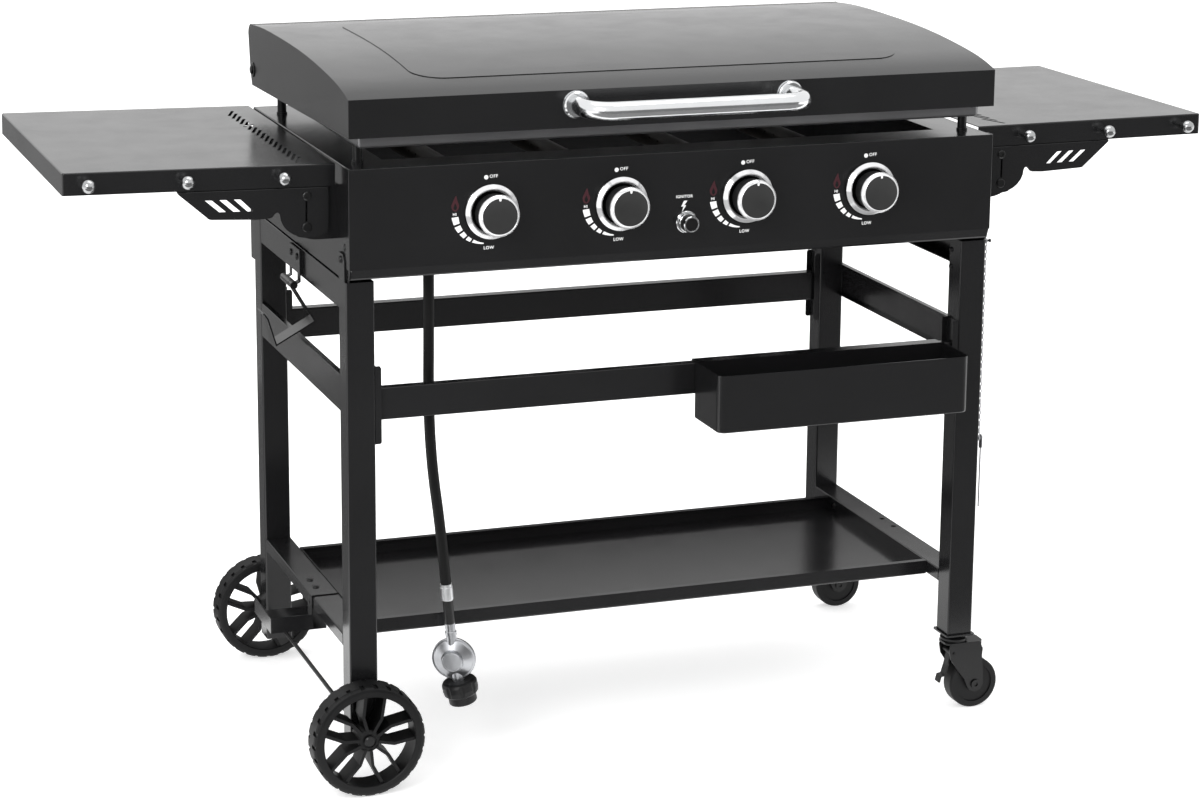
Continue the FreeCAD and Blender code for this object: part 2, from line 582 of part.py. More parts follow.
prof = [(11.1, -14.0), (12.5, -14.0), (12.5, 0), (15.0, 0), (15.0, 2.4), (14.2, 3.2),
        (13.2, 3.4), (12.9, 9.0), (12.2, 9.6), (11.1, 9.6)]
put("igniter_bezel", lathe(prof, (IGN_X, BODY_F, IGN_Z), (0, -1, 0)))
prof = [(0, -12.0), (11.04, -12.0), (11.04, 20.0), (10.2, 21.6), (8.6, 21.8), (8.0, 21.0), (0, 21.0)]
put("igniter_button", lathe(prof, (IGN_X, BODY_F, IGN_Z), (0, -1, 0)))

# ------------------------------------------------------------------------ lid
CROWN = [(-263.0, 930.5), (-225.0, 940.0), (-155.0, 949.7), (-82.0, 956.3),
         (8.5, 961.0), (110.0, 963.0), (195.0, 962.8), (264.0, 959.0)]


def crown_profile(inset, zb_f, zb_r, raise_by=0.0):
    # closed YZ profile of the lid, moved inwards by inset
    pts = []
    for i, (y, z) in enumerate(CROWN):
        pts.append((y, z - inset + raise_by))
    pts[0] = (LID_F + inset, CROWN[0][1] - inset * 0.87 + raise_by)
    pts[-1] = (CROWN[-1][0], CROWN[-1][1] - inset + raise_by)
    x0 = 0.0
    c = Part.BSplineCurve()
    c.interpolate([V(x0, p[0], p[1]) for p in pts])
    # the rear wall leans outwards from its lower edge to the top corner
    tl = pts[-1]
    wall = [(286.2 - inset, 945.5 + raise_by), (279.6 - inset, 909.0), (275.6 - inset, 889.5),
            (267.8 - inset, 872.0)]
    if zb_r < 872.0:
        wall[-1] = (wall[-1][0] - (872.0 - zb_r) * 7.8 / 17.5, zb_r)
    if zb_r > 889.5:
        wall = wall[:1] + [(wall[1][0] - (909.0 - zb_r) * 4.0 / 19.5, zb_r)]
    arc = Part.Arc(V(x0, tl[0], tl[1]),
                   V(x0, 280.6 - 0.75 * inset, 954.9 - 0.7 * inset + raise_by),
                   V(x0, *wall[0]))
    e = [c.toShape(), arc.toShape()]
    for p, q in zip(wall, wall[1:]):
        e.append(Part.LineSegment(V(x0, *p), V(x0, *q)).toShape())
    zb_r, rear = wall[-1][1], wall[-1][0]
    e += [Part.LineSegment(V(x0, rear, zb_r), V(x0, LID_F + inset, zb_f)).toShape(),
         Part.LineSegment(V(x0, LID_F + inset, zb_f), V(x0, pts[0][0], pts[0][1])).toShape()]
    return Part.Wire(e)


outer = Part.Face(crown_profile(0.0, 880.5, 872.0)).extrude(V(2 * LID_HW, 0, 0))
outer.translate(V(-LID_HW, 0, 0))
outer = fillet(outer, 1.4, lambda e: abs(abs(mid(e)[0]) - LID_HW) < 0.01 and mid(e)[2] > 885)
inner = Part.Face(crown_profile(LID_T, 860.0, 860.0)).extrude(V(2 * LID_HW - 2 * LID_T, 0, 0))
inner.translate(V(-LID_HW + LID_T, 0, 0))
lid = outer.cut(inner)
# notches in the rear wall for the hinge plates
for sx in (-1, 1):
    lid = lid.cut(box(sx * 322.0, sx * 338.0, 258.0, 292.0, 860.0, 912.0))
    lid = lid.cut(cyl((sx * 440.0, HINGE_Y, HINGE_Z), (sx, 0, 0), 4.06, 30.0))
# raised field on the top
band = Part.Face(crown_profile(LID_T * 0.5, 900.0, 900.0, 0.75 + 0.9)).extrude(V(2 * LID_HW, 0, 0))
band.translate(V(-LID_HW, 0, 0))
field = box(-348.0, 348.0, -203.0, 207.0, 900.0, 990.0)
field = fillet(field, 42.0, lambda e: along(e, 2))
band = band.common(field).cut(inner)
lid = lid.fuse(band)
put("lid_shell", lid)

# handle: bent tube with round ends on two rings
HR = 12.2
HZ0, HZ1, HY = 911.6, 911.6, -332.0
a0 = V(-151, LID_F - 2.2, HZ1)
HB = 31.0           # bend radius of the tube's middle line
a1 = V(-151, HY + HB, HZ1)
am = V(-151 + HB * (1 - math.cos(math.pi / 4)), HY + HB * (1 - math.sin(math.pi / 4)), HZ1)
a2 = V(-151 + HB, HY, HZ1)
b2 = V(151 - HB, HY, HZ1)
bm = V(151 - HB * (1 - math.cos(math.pi / 4)), HY + HB * (1 - math.sin(math.pi / 4)), HZ1)
b1 = V(151, HY + HB, HZ1)
b0 = V(151, LID_F - 2.2, HZ1)
wire = Part.Wire([Part.LineSegment(a0, a1).toShape(), Part.Arc(a1, am, a2).toShape(),
                  Part.LineSegment(a2, b2).toShape(), Part.Arc(b2, bm, b1).toShape(),
                  Part.LineSegment(b1, b0).toShape()])
prof = Part.Wire([Part.Circle(a0, V(0, -1, 0), HR).toShape()])
handle = wire.makePipeShell([prof], True, False)
put("lid_handle", handle)
roses = []
for sx in (-1, 1):
    base = lathe([(0, 0), (18.5, 0), (18.5, 2.2), (0, 2.2)], (sx * 151.0, LID_F, HZ1), (0, -1, 0))
    collar = lathe([(12.3, 2.2), (17.6, 2.2), (17.6, 6.4), (15.8, 8.4), (12.3, 8.4)],
                   (sx * 151.0, LID_F, HZ1), (0, -1, 0))
    roses.append(fuse([base, collar]))
put("handle_roses", group(roses))

plates = []
for sx in (-1, 1):
    p = yz([(250.0, 790.0), (261.6, 790.0), (261.6, 843.0), (264.8, 846.0), (267.6, 888.0),
            (267.0, 898.0), (264.0, 902.4), (260.0, 904.0), (255.6, 902.4), (252.6, 898.0),
            (251.6, 886.0), (250.0, 846.0)],
           sx * 328.0, sx * 330.6)
    plates.append(p.cut(cyl((sx * 320.0, HINGE_Y, HINGE_Z), (sx, 0, 0), 4.0, 30.0)))
put("lid_hinge_plates", group(plates))


# --------------------------------------------------------------- side shelves
def shelf():
    s = box(SHELF_IN, SHELF_OUT, SHELF_F, SHELF_R, SHELF_TOP - SHELF_SKIRT, SHELF_TOP)
    s = fillet(s, 3.0, lambda e: along(e, 2) and mid(e)[0] > SHELF_OUT - 1)
    s = fillet(s, 2.0, lambda e: mid(e)[2] > SHELF_TOP - 0.01 and mid(e)[0] > SHELF_IN + 1)
    i = box(SHELF_IN - 5, SHELF_OUT - SH, SHELF_F + SH, SHELF_R - SH,
            SHELF_TOP - SHELF_SKIRT - 5, SHELF_TOP - SH)
    i = fillet(i, 2.0, lambda e: along(e, 2) and mid(e)[0] > SHELF_OUT - 3)
    s = s.cut(i)
    # folded return along the lower edge of the skirt
    zb = SHELF_TOP - SHELF_SKIRT
    ret = [box(SHELF_IN, SHELF_OUT - SH, SHELF_F + SH, SHELF_F + 3.0, zb, zb + SH),
           box(SHELF_OUT - 10, SHELF_OUT - SH, SHELF_F + SH, SHELF_R - SH, zb, zb + SH)]
    s = fuse([s] + ret)
    holes = []
    for k in range(17):
        y = -175.5 + k * 24.2
        h = box(-22.6, 22.6, -2.15, 2.15, SHELF_TOP - 5, SHELF_TOP + 5)
        h = fillet(h, 2.1, lambda e: along(e, 2))
        h.rotate(V(0, 0, 0), V(0, 0, 1), 109.0)
        h.translate(V(502.4, y, 0))
        holes.append(h)
    return s.cut(Part.makeCompound(holes))


def right_pose(shape):
    # the shape in its place on the right: rises outwards about the hinge bolt
    t = shape.copy()
    t.rotate(V(FOLD_X, 0, FOLD_Z), V(0, 1, 0), -TILT_R)
    return t


def left_pose(shape):
    t = shape.copy()
    t.rotate(V(FOLD_X, 0, FOLD_Z), V(0, 1, 0), -TILT_L)
    t.translate(V(0, 0, -DROP_L))
    return mirror_x(t)


s = shelf()
put("side_shelf_right", right_pose(s))
put("side_shelf_left", left_pose(s))

BR_PTS = [(664.0, 841.9), (669.0, 814.5), (666.6, 810.0), (630.5, 779.2), (627.6, 776.6),
          (624.0, 775.8), (564.0, 773.6), (547.6, 774.6), (544.4, 776.0), (541.6, 779.6),
          (538.8, 781.8), (536.4, 781.2), (534.8, 778.4), (533.6, 771.0), (530.6, 764.4),
          (525.4, 758.0), (519.4, 753.4), (513.2, 750.6), (510.4, 748.6), (506.0, 747.8),
          (499.0, 746.8), (482.0, 748.5), (472.5, 754.0), (470.5, 760.0), (470.5, 803.0),
          (474.0, 841.9)]
JOG = 811.8         # below this the front bracket stands flush with the skirt


def shelf_bracket(y0, y1, front):
    # y0..y1: the plate behind the skirt; below the skirt it steps outwards
    o = -2.8 if front else 2.8
    full = xz(BR_PTS, min(y0, y0 + o), max(y1, y1 + o))
    lo = full.common(box(400, 700, y0 + o, y1 + o, 700.0, JOG))
    hi = full.common(box(400, 700, y0, y1, JOG - 1.0, 850.0))
    a, b = (y0 + o, y1) if front else (y0, y1 + o)
    st = full.common(box(400, 700, a, b, JOG - 1.5, JOG + 1.3))
    edge = y0 + o if front else y1 + o
    st = fillet(st, 1.2, lambda e: along(e, 0) and abs(mid(e)[1] - edge) < 0.01
                and mid(e)[2] > JOG + 1)
    s = fuse([lo, hi, st])
    ya, yb = min(y0, y0 + o) - 1, max(y1, y1 + o) + 1
    slots = []
    for a, b, c, d in (((632.6, 801.3), (623.6, 801.0), (605.1, 785.2), (613.5, 785.2)),
                       ((613.6, 801.2), (604.8, 801.0), (586.2, 785.0), (595.3, 785.1)),
                       ((595.0, 801.2), (586.4, 800.9), (569.5, 784.8), (576.7, 784.6))):
        slots.append(xz([a, b, c, d], ya, yb))
    s = s.cut(Part.makeCompound(slots))
    s = s.cut(cyl((FOLD_X, ya, FOLD_Z), (0, 1, 0), 4.07, yb - ya))
    s = s.cut(cyl((499.0, ya, 802.0), (0, 1, 0), 3.0, yb - ya))
    s = s.cut(box(498.4, 501.2, ya, yb, 769.0, 795.5))
    f = box(476.0, 662.0, y1 - 0.1, y1 + 13.0, 840.3, 841.9) if front else \
        box(476.0, 662.0, y0 - 13.0, y0 + 0.1, 840.3, 841.9)
    f = f.cut(box(485.0, 512.0, -300, 300, 830, 850))
    return s.fuse(f).removeSplitter()


bf = shelf_bracket(-207.0, -205.0, True)
brr = shelf_bracket(272.8, 274.8, False)
put("shelf_brackets_right", group([right_pose(bf), right_pose(brr)]))
put("shelf_brackets_left", group([left_pose(bf), left_pose(brr)]))



def support_bracket(y0, y1, x0, tab, drop=0.0):
    # bucket-shaped plate with its tab on the body's side
    fix = [(x0, 812.0), (x0, 741.0), (486.0, 741.0), (494.0, 742.2), (501.5, 744.6),
           (508.0, 748.4), (512.5, 753.0), (512.5, 790.0), (500.0, 812.0)]
    s = xz(fix, y0, y1)
    s = s.cut(cyl((FOLD_X, y0 - 1, FOLD_Z - drop), (0, 1, 0), 4.0, y1 - y0 + 2))
    if tab > 0:
        t = box(x0, x0 + 1.6, y0, y1 + 20.0, 741.0, 812.0)
    else:
        t = box(x0, x0 + 1.6, y0 - 22.0, y1, 741.0, 812.0)
    return s.fuse(t).removeSplitter()


sb = [support_bracket(-204.6, -202.6, WALL_HW, 1), support_bracket(270.4, 272.4, 457.6, -1)]
sb += [mirror_x(support_bracket(-204.6, -202.6, WALL_HW, 1, DROP_L)),
       mirror_x(support_bracket(270.4, 272.4, 457.6, -1, DROP_L))]
put("shelf_support_brackets", group(sb))


def shelf_hardware():
    items = []
    for x in (532.6, 658.0, 784.0):
        ball = Part.makeSphere(8.75, V(x, SHELF_F - 18.0, 828.4))
        neck = cyl((x, SHELF_F - 11.5, 828.4), (0, 1, 0), 4.2, 11.5)
        items.append(ball.fuse(neck).removeSplitter())
    for y0, d in ((-209.8, -1), (277.6, 1)):
        h = lathe([(0, 0), (5.8, 0), (5.8, 1.0), (4.6, 1.9), (0, 1.9)], (499.0, y0, 802.0), (0, d, 0))
        h = h.cut(xz([(499.0 + 2.4 * math.cos(math.radians(60 * k)),
                       802.0 + 2.4 * math.sin(math.radians(60 * k))) for k in range(6)],
                     min(y0 + d * 0.9, y0 + d * 3), max(y0 + d * 0.9, y0 + d * 3)))
        sh = cyl((499.0, y0 + d * 0.5, 802.0), (0, -d, 0), 2.96, 3.0)
        items.append(h.fuse(sh).removeSplitter())
    return group(items)


s = shelf_hardware()
put("shelf_hardware_right", right_pose(s))
put("shelf_hardware_left", left_pose(s))

# --------------------------------------------------------------- gas supply
HOSE_R = 7.3
HOSE = [(-333.0, -200.0, 716.0), (-333.0, -200.0, 612.0), (-334.4, -200.6, 508.0),
        (-330.0, -201.0, 420.0), (-318.5, -201.0, 336.0), (-310.6, -200.0, 254.0)]
hose, hlen, radii = tube_path(HOSE, HOSE_R)
print("hose length %.1f radii %s volume %.0f expected %.0f" %
      (hlen, radii, hose.Volume, math.pi * HOSE_R ** 2 * hlen))
put("gas_hose", hose)

# end of the hose hangs along this direction
e0, e1 = V(*HOSE[-2]), V(*HOSE[-1])
HD = e1 - e0
HD.normalize()
D = (HD.x, HD.y, HD.z)


def at(t):
    p = e1 + HD * t
    return (p.x, p.y, p.z)


ferrule = lathe([(0, 0), (8.0, 0), (8.0, 4.0), (8.6, 4.6), (8.6, 22.0), (8.0, 23.0), (0, 23.0)], at(0), D)
sleeve = lathe([(0, 22.0), (7.0, 22.0), (7.0, 57.0), (0, 57.0)], at(0), D)
put("hose_ferrule", fuse([ferrule, sleeve]))

REG_C = V(-299.5, -199.0, 146.0)
RA = V(-0.47, -0.88, -0.09)
RA.normalize()
RD = (RA.x, RA.y, RA.z)
inlet = lathe([(0, 57.0), (6.8, 57.0), (7.0, 57.6), (7.0, 68.0), (8.0, 69.0), (8.0, 74.0),
               (7.0, 75.0), (7.0, 92.0), (0, 92.0)], at(0), D)
disc = lathe([(0, -10.0), (20.0, -10.0), (26.5, -5.5), (29.6, -2.2), (30.4, -1.6), (30.4, 1.4),
              (29.6, 2.0), (27.6, 2.2), (26.4, 3.6), (16.0, 9.4), (0, 9.4)],
             (REG_C.x, REG_C.y, REG_C.z), RD)
bc = REG_C + RA * 9.0
boss = lathe([(0, -1.0), (14.2, -1.0), (14.2, 5.6), (13.2, 6.8), (11.6, 6.8), (11.2, 6.2),
              (0, 6.2)], (bc.x, bc.y, bc.z), RD)
ND = V(0.208, 0.0, -0.978)
ND.normalize()
neck = cyl((REG_C.x + ND.x * 18, REG_C.y, REG_C.z + ND.z * 18), (ND.x, ND.y, ND.z), 8.0, 46.0)
put("regulator", fuse([inlet, disc, boss, neck]))

N0 = REG_C + ND * 31.8
nut = lathe([(8.1, 0), (19.0, 0), (22.6, 1.6), (24.6, 5.0), (24.8, 12.0), (23.6, 18.5),
             (21.0, 21.4), (19.4, 22.2), (19.4, 31.6), (18.2, 33.0), (13.0, 33.0),
             (13.0, 27.0), (8.1, 27.0)],
            (N0.x, N0.y, N0.z), (ND.x, ND.y, ND.z))
scal = []
for k in range(8):
    c = Part.makeCylinder(5.2, 30.4, V(28.2, 0, -8), V(0, 0, 1))
    c.rotate(V(0, 0, 0), V(0, 0, 1), 45 * k + 12)
    c.Placement = FreeCAD.Placement(N0, FreeCAD.Rotation(V(0, 0, 1), ND)).multiply(c.Placement)
    scal.append(c)
nut = nut.cut(Part.makeCompound(scal))
put("regulator_nut", nut)

# ------------------------------------------------------------- lighting chain
CH_X, CH_Y, CH_T, CH_B = 466.4, -237.0, 686.2, 404.0
chain = cyl((CH_X, CH_Y, CH_B), (0, 0, 1), 1.5, CH_T - CH_B - 3.6)
eye = Part.makeTorus(3.6, 0.9, V(CH_X, CH_Y, CH_T), V(0, 1, 0))
eye = ring((CH_X - 0.8, CH_Y, CH_T), (1, 0, 0), 4.0, 2.3, 1.6)
low = ring((CH_X - 0.8, CH_Y, CH_B - 3.0), (1, 0, 0), 4.0, 2.3, 1.6)
put("lighting_chain", fuse([chain, eye, low]))
rod = cyl((CH_X + 2.6, CH_Y, 300.0), (0, 0, 1), 1.0, 96.0)
clip = box(CH_X + 1.8, CH_X + 3.4, CH_Y - 4.0, CH_Y + 4.0, 386.0, 406.0)
clip = fillet(clip, 2.5, lambda e: along(e, 0))
rpin = cyl((CH_X - 2.2, CH_Y, CH_B - 3.0), (1, 0, 0), 1.9, 4.6)
put("lighting_rod", fuse([rod, clip, rpin]))

# ------------------------------------------------------------------ fasteners
F = []


def screw(p, d, r=4.2, h=2.2, shank=1.8, l=4.0):
    prof = [(0, -l), (shank, -l), (shank, 0), (r, 0), (r * 0.86, h * 0.7), (r * 0.45, h), (0, h)]
    F.append(lathe(prof, p, d))


for sx in (-1, 1):
    screw((sx * WALL_HW, -239.4, 735.0), (sx, 0, 0), r=5.2, h=2.4)
    screw((sx * LEG_OUT, -225.0, 717.0), (sx, 0, 0), r=5.2, h=2.4, l=5.0)
    screw((sx * WALL_HW, 236.0, 735.0), (sx, 0, 0), r=5.2, h=2.4)
    screw((sx * LEG_OUT, 248.0, 717.0), (sx, 0, 0), r=5.2, h=2.4, l=5.0)
    for z in (673.0, 649.0):
        screw((sx * LEG_IN, -220.5, z), (-sx, 0, 0))
        screw((sx * LEG_IN, 231.0, z), (-sx, 0, 0))
    # hinge bolts of the side shelves: head, shank, nut behind the support bracket
    fz = FOLD_Z if sx > 0 else FOLD_Z - DROP_L
    for yh, yn, d in ((-209.8, -202.58, -1), (277.6, 270.38, 1)):
        head = lathe([(0, 0), (6.4, 0), (6.4, 1.1), (5.2, 2.1), (0, 2.1)],
                     (sx * FOLD_X, yh + d * 0.3, fz), (0, d, 0))
        shank = cyl((sx * FOLD_X, yh + d * 0.4, fz), (0, -d, 0), 4.0, 11.0)
        nutf = cyl((sx * FOLD_X, yn, fz), (0, -d, 0), 6.5, 3.4)
        F.append(fuse([head, shank, nutf]))
    # screws of the support brackets into the side wall
    for z in (752.0, 798.0):
        screw((sx * (WALL_HW + 1.6), -192.0, z), (sx, 0, 0), l=2.8)
        screw((sx * (457.6 + 1.6), 257.0, z), (sx, 0, 0), l=4.2)
    # lid hinge pins
    head = lathe([(0, 0), (10.5, 0), (10.5, 0.8), (9.6, 1.2), (6.2, 1.2), (6.2, 2.6), (4.8, 3.8), (0, 4.2)],
                 (sx * (LID_HW + 0.3), HINGE_Y, HINGE_Z), (sx, 0, 0))
    shank = cyl((sx * 325.0, HINGE_Y, HINGE_Z), (sx, 0, 0), 4.0, LID_HW + 0.6 - 325.0)
    F.append(fuse([head, shank]))
    # tray to lower rails
    for y in (-150.0, 146.0):
        F.append(lathe([(0, 0.0), (4.0, 0.0), (3.4, 1.7), (0, 2.2), ],
                       (sx * (TRAY_HW - SH), y, 195.0), (-sx, 0, 0)))
# gas bottle bracket and hook bracket
for y in (-19.8, 13.0):
    screw((-445.6, y, 206.5), (0, 0, 1), r=5.0, h=2.4, l=2.6)
for y in (25.6, -6.4):
    screw((HP, y, 677.0), (-1, 0, 0), r=5.0, h=2.2, l=6.0)
# axle hardware: washer at the front leg, spacer at the rear leg, end caps
F.append(ring((WHEEL_X, -253.6, WHEEL_R), (0, 1, 0), 8.0, AXLE_R + 0.02, 2.4))
F.append(ring((WHEEL_X, 262.0, WHEEL_R), (0, 1, 0), 7.0, AXLE_R + 0.02, 17.6))
for y0, d in ((-288.4, -1), (314.4, 1)):
    cap = lathe([(0, 0), (7.4, 0), (7.4, 2.2), (5.6, 3.8), (0, 3.8)], (WHEEL_X, y0, WHEEL_R), (0, d, 0))
    F.append(cap.cut(cyl((WHEEL_X, y0 + d * 2.8, WHEEL_R), (0, -d, 0), AXLE_R + 0.02, 6.0)))
# hook that carries the lighting chain, under the side wall by the front leg
hp = cyl((LEG_OUT - 4.0, CH_Y, CH_T), (1, 0, 0), 1.7, 14.5)
hh = cyl((LEG_OUT + 10.5, CH_Y, CH_T), (1, 0, 0), 1.7, 1.6).fuse(
    cyl((LEG_OUT + 12.1, CH_Y, CH_T), (1, 0, 0), 2.6, 1.2))
F.append(fuse([hp, hh]))
put("fasteners", group(F))

# holes for the fasteners in the fixed pieces
FIXED = ["leg_front_left", "leg_rear_left", "leg_front_right", "leg_rear_right",
         "upper_side_rails", "lower_side_rails", "firebox_shell", "control_panel",
         "shelf_support_brackets", "tank_tray_bracket", "tank_hook_bracket",
         "bottom_tray", "lid_hinge_plates"]
for n in FIXED:
    fb = OUT[n].BoundBox
    for t in F:
        if fb.intersect(t.BoundBox):
            OUT[n] = OUT[n].cut(t)

os.makedirs("parts", exist_ok=True)
low = 1e9
for name in sorted(OUT):
    s = OUT[name].copy()
    s.translate(V(0, ORIGIN_SHIFT_Y, 0))
    sol = s.Solids
    bb = s.BoundBox
    low = min(low, bb.ZMin)
    bad = [k for k, q in enumerate(sol) if not q.isValid()]
    print("%-24s solids %d faces %4d valid %s X %.1f..%.1f Y %.1f..%.1f Z %.1f..%.1f" %
          (name, len(sol), len(s.Faces), s.isValid() and not bad, bb.XMin, bb.XMax,
           bb.YMin, bb.YMax, bb.ZMin, bb.ZMax))
    out = sol[0] if len(sol) == 1 else Part.makeCompound(sol)
    out.exportStep("parts/%s.step" % name)
print("nodes", len(OUT), "lowest", round(low, 3))
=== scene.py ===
import json
import math

import bmesh
import bpy
from mathutils import Matrix, Vector


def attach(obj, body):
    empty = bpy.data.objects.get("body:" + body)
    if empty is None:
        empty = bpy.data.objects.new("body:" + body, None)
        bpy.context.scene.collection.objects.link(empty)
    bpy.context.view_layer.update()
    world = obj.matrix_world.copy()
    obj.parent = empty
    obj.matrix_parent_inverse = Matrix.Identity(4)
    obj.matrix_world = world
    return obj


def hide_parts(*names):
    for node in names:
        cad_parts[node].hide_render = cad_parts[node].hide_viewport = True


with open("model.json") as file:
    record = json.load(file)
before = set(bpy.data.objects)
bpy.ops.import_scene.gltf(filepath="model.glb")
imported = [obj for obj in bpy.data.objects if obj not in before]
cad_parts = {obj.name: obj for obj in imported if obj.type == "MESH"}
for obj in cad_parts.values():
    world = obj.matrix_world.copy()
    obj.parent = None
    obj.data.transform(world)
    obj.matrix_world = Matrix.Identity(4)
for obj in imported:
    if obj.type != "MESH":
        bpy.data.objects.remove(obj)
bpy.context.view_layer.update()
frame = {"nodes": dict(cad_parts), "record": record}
N = frame["nodes"]

# metres; the model's origin is 7.5 mm in front of the middle of the body
OY = 0.0075
MM = 0.001


def P(x, y, z):
    return Vector((x * MM, y * MM + OY, z * MM))


# --------------------------------------------------------------------- camera
scene = bpy.context.scene
cam_data = bpy.data.cameras.new("camera")
cam = bpy.data.objects.new("camera", cam_data)
scene.collection.objects.link(cam)
yaw, pitch, roll = math.radians(19.841), math.radians(12.892), math.radians(0.4657)
fwd = Vector((math.sin(yaw) * math.cos(pitch), math.cos(yaw) * math.cos(pitch), -math.sin(pitch)))
right = Vector((math.cos(yaw), -math.sin(yaw), 0.0))
up = right.cross(fwd)
r2 = right * math.cos(roll) + up * math.sin(roll)
u2 = up * math.cos(roll) - right * math.sin(roll)
rot = Matrix((r2, u2, -fwd)).transposed()
cam.matrix_world = Matrix.Translation(P(-1429.356, -3904.995, 1533.718)) @ rot.to_4x4()
cam_data.sensor_width = 36.0
cam_data.lens = 2996.889 * 36.0 / 1200.0
cam_data.shift_y = -0.08375
cam_data.clip_end = 100.0
cam_data.dof.use_dof = False
scene.camera = cam


# ------------------------------------------------------------------- the hose
HOSE = [(-333.0, -200.0, 716.0), (-333.0, -200.0, 612.0), (-334.4, -200.6, 508.0),
        (-330.0, -201.0, 420.0), (-318.5, -201.0, 336.0), (-310.6, -200.0, 254.0)]


def nurbs(name, points, bevel):
    c = bpy.data.curves.new(name, "CURVE")
    c.dimensions = "3D"
    s = c.splines.new("NURBS")
    s.points.add(len(points) - 1)
    for p, q in zip(s.points, points):
        p.co = (q[0], q[1], q[2], 1.0)
        p.radius = bevel
    s.order_u = 3
    s.use_endpoint_u = True
    s.resolution_u = 24
    c.bevel_depth = 1.0
    c.bevel_resolution = 8
    c.use_fill_caps = True
    o = bpy.data.objects.new(name, c)
    scene.collection.objects.link(o)
    return o


hose = nurbs("gas_hose_rubber", [P(*p) for p in HOSE], 7.3 * MM)
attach(hose, "frame")
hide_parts("gas_hose")


# ------------------------------------------------------------------ materials
def nt(name):
    m = bpy.data.materials.new(name)
    m.use_nodes = True
    t = m.node_tree
    return m, t, t.nodes["Principled BSDF"]


def obj_coords(t):
    return t.nodes.new("ShaderNodeTexCoord").outputs["Object"]


def noise(t, co, scale, detail=3.0, rough=0.55, stretch=None):
    if stretch:
        mp = t.nodes.new("ShaderNodeMapping")
        mp.inputs["Scale"].default_value = stretch
        t.links.new(co, mp.inputs["Vector"])
        co = mp.outputs["Vector"]
    n = t.nodes.new("ShaderNodeTexNoise")
    n.inputs["Scale"].default_value = scale
    n.inputs["Detail"].default_value = detail
    n.inputs["Roughness"].default_value = rough
    t.links.new(co, n.inputs["Vector"])
    return n.outputs["Fac"]


def ramp(t, fac, stops):
    r = t.nodes.new("ShaderNodeValToRGB")
    e = r.color_ramp.elements
    while len(e) < len(stops):
        e.new(0.5)
    for q, (pos, col) in zip(e, stops):
        q.position = pos
        q.color = (col, col, col, 1) if isinstance(col, (int, float)) else (*col, 1)
    t.links.new(fac, r.inputs["Fac"])
    return r.outputs["Color"]


def rough_map(t, b, fac, lo, hi):
    m = t.nodes.new("ShaderNodeMapRange")
    m.inputs["From Min"].default_value = 0.3
    m.inputs["From Max"].default_value = 0.7
    m.inputs["To Min"].default_value = lo
    m.inputs["To Max"].default_value = hi
    t.links.new(fac, m.inputs["Value"])
    t.links.new(m.outputs["Result"], b.inputs["Roughness"])


def bump(t, b, fac, strength, dist):
    n = t.nodes.new("ShaderNodeBump")
    n.inputs["Strength"].default_value = strength
    n.inputs["Distance"].default_value = dist
    t.links.new(fac, n.inputs["Height"])
    t.links.new(n.outputs["Normal"], b.inputs["Normal"])
    return n


def powder(name, base, rough_lo, rough_hi, ior=1.46, peel=0.05):
    # powder coat: faint cloudiness, orange peel and fingertip-sized haze
    m, t, b = nt(name)
    co = obj_coords(t)
    cloud = noise(t, co, 5.0, 4.0)
    col = ramp(t, cloud, [(0.3, tuple(c * 0.85 for c in base)), (0.7, tuple(c * 1.15 for c in base))])
    t.links.new(col, b.inputs["Base Color"])
    haze = noise(t, co, 14.0, 5.0, 0.6)
    rough_map(t, b, haze, rough_lo, rough_hi)
    fine = noise(t, co, 900.0, 2.0)
    bump(t, b, fine, peel, 0.0004)
    b.inputs["IOR"].default_value = ior
    return m


def metal(name, base, rough_lo, rough_hi, scale=40.0, stretch=None, bmp=0.02, tint=0.9):
    m, t, b = nt(name)
    co = obj_coords(t)
    f = noise(t, co, scale, 4.0, 0.6, stretch)
    col = ramp(t, f, [(0.3, tuple(c * tint for c in base)), (0.7, base)])
    t.links.new(col, b.inputs["Base Color"])
    b.inputs["Metallic"].default_value = 1.0
    rough_map(t, b, f, rough_lo, rough_hi)
    bump(t, b, f, bmp, 0.0003)
    return m


def plastic(name, base, rough_lo, rough_hi, grain=700.0, peel=0.08, ior=1.47):
    m, t, b = nt(name)
    co = obj_coords(t)
    cloud = noise(t, co, 18.0, 3.0)
    col = ramp(t, cloud, [(0.3, tuple(c * 0.85 for c in base)), (0.7, tuple(c * 1.2 for c in base))])
    t.links.new(col, b.inputs["Base Color"])
    fine = noise(t, co, grain, 3.0)
    rough_map(t, b, cloud, rough_lo, rough_hi)
    bump(t, b, fine, peel, 0.0003)
    b.inputs["IOR"].default_value = ior
    return m


def griddle_mat():
    # rolled steel with long mill marks and heat bloom
    m, t, b = nt("rolled_steel")
    co = obj_coords(t)
    f = noise(t, co, 60.0, 5.0, 0.6, (0.15, 1.0, 1.0))
    cloud = noise(t, co, 6.0, 4.0)
    col = ramp(t, cloud, [(0.3, (0.16, 0.16, 0.165)), (0.7, (0.24, 0.24, 0.245))])
    t.links.new(col, b.inputs["Base Color"])
    b.inputs["Metallic"].default_value = 0.85
    rough_map(t, b, f, 0.28, 0.42)
    bump(t, b, f, 0.06, 0.0004)
    return m


